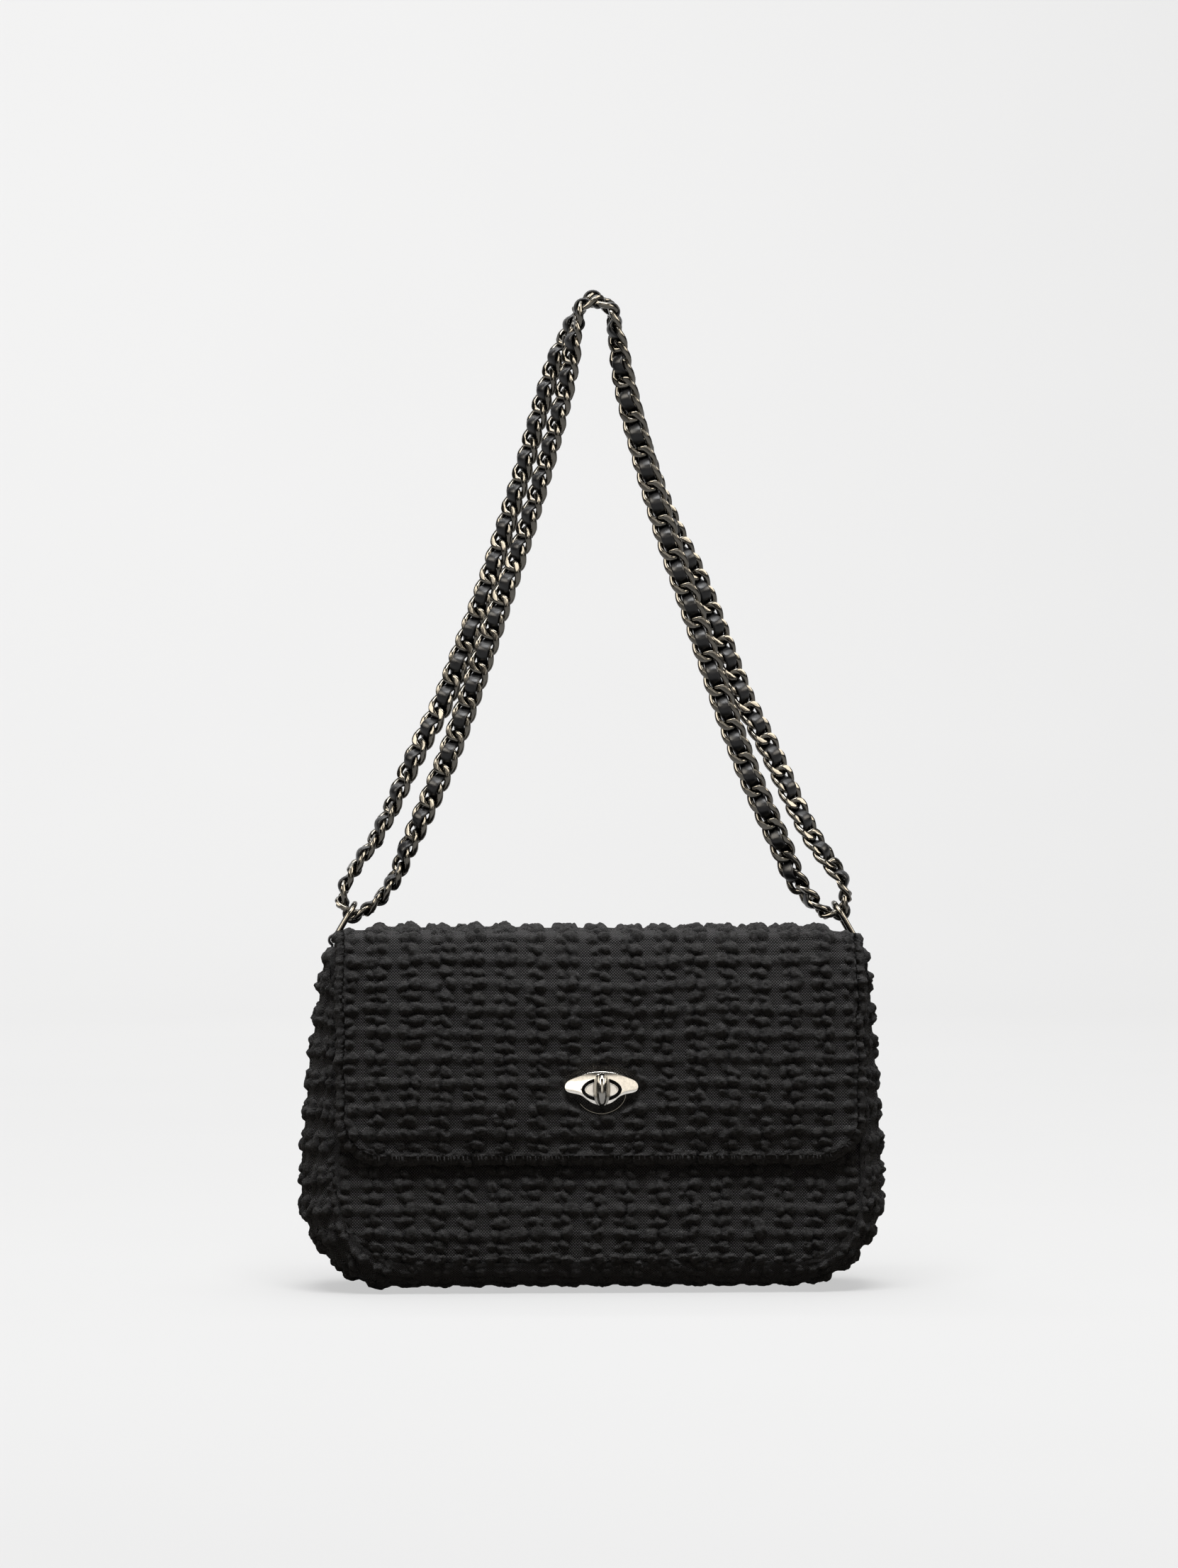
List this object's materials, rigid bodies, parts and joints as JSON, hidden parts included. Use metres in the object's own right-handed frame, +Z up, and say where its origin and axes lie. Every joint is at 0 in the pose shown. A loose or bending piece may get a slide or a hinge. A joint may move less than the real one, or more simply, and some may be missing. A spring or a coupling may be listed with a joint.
{
  "type": "handbag",
  "caption": "Flap handbag in chunky tweed, closed by a turn lock, with side rings that carry a chain strap laced with leather.",
  "frame": {"origin": "on the ground under the middle of the base, halfway between the bottom edges of the front and back panels", "axes": "+Z up, the front with the turn lock faces -Y, +X to the right as the front is looked at"},
  "size_m": [0.2492, 0.0794, 0.4266],
  "materials": {
    "tweed": "chunky looped wool over a fine ground weave",
    "board": "stiff fibre board",
    "lining": "plain woven lining",
    "padding": "thin felt padding",
    "leather": "smooth, semi-gloss",
    "ring_metal": "polished gunmetal plating",
    "chain_metal": "polished gunmetal plating",
    "lock_metal": "polished pale nickel plating",
    "lock_inner": "plated steel"
  },
  "bodies": {
    "bag_body": {"front_panel": "tweed", "back_panel": "tweed", "top_band": "tweed", "gusset": "tweed", "front_board": "board", "back_board": "board", "gusset_padding": "padding", "front_lining": "lining", "back_lining": "lining", "gusset_lining": "lining", "top_band_lining": "lining", "lock_base": "lock_inner", "lock_backing": "lock_inner", "lock_spring": "lock_inner", "left_tab": "leather", "right_tab": "leather"},
    "flap_top": {"flap_top_panel": "tweed", "flap_top_board": "board", "flap_top_lining": "lining", "flap_fold": "tweed", "flap_fold_lining": "lining"},
    "flap_front": {"flap_front_panel": "tweed", "flap_front_board": "board", "flap_front_lining": "lining", "lock_plate": "lock_metal", "lock_plate_frame": "lock_inner"},
    "turn_knob": {"turn_knob": "lock_metal", "knob_spindle": "lock_inner", "spindle_retainer": "lock_inner"},
    "strap": {"left_ring": "ring_metal", "right_ring": "ring_metal", "front_chain": "chain_metal", "rear_chain": "chain_metal", "left_turn_links": "chain_metal", "right_turn_links": "chain_metal", "front_lace": "leather", "rear_lace": "leather"}
  },
  "joints": [
    {"name": "flap_top_hinge", "type": "hinge", "parent": "bag_body", "child": "flap_top", "pos_m": [0, 0.006, 0.153], "axis": [-1, 0, 0], "range_deg": [0, 80]},
    {"name": "flap_fold_hinge", "type": "hinge", "parent": "flap_top", "child": "flap_front", "pos_m": [0, -0.01756, 0.1416], "axis": [-1, 0, 0], "range_deg": [0, 80], "deforming": ["flap_fold", "flap_fold_lining"]},
    {"name": "knob_turn", "type": "hinge", "parent": "bag_body", "child": "turn_knob", "pos_m": [0, -0.02911, 0.085], "axis": [0, -0.9946, 0.104], "range_deg": [0, 90]},
    {"name": "strap_fall", "type": "hinge", "parent": "bag_body", "child": "strap", "pos_m": [0, 0.016, 0.1471], "axis": [-1, 0, 0], "range_deg": [0, 45], "deforming": ["left_tab", "right_tab"]}
  ]
}
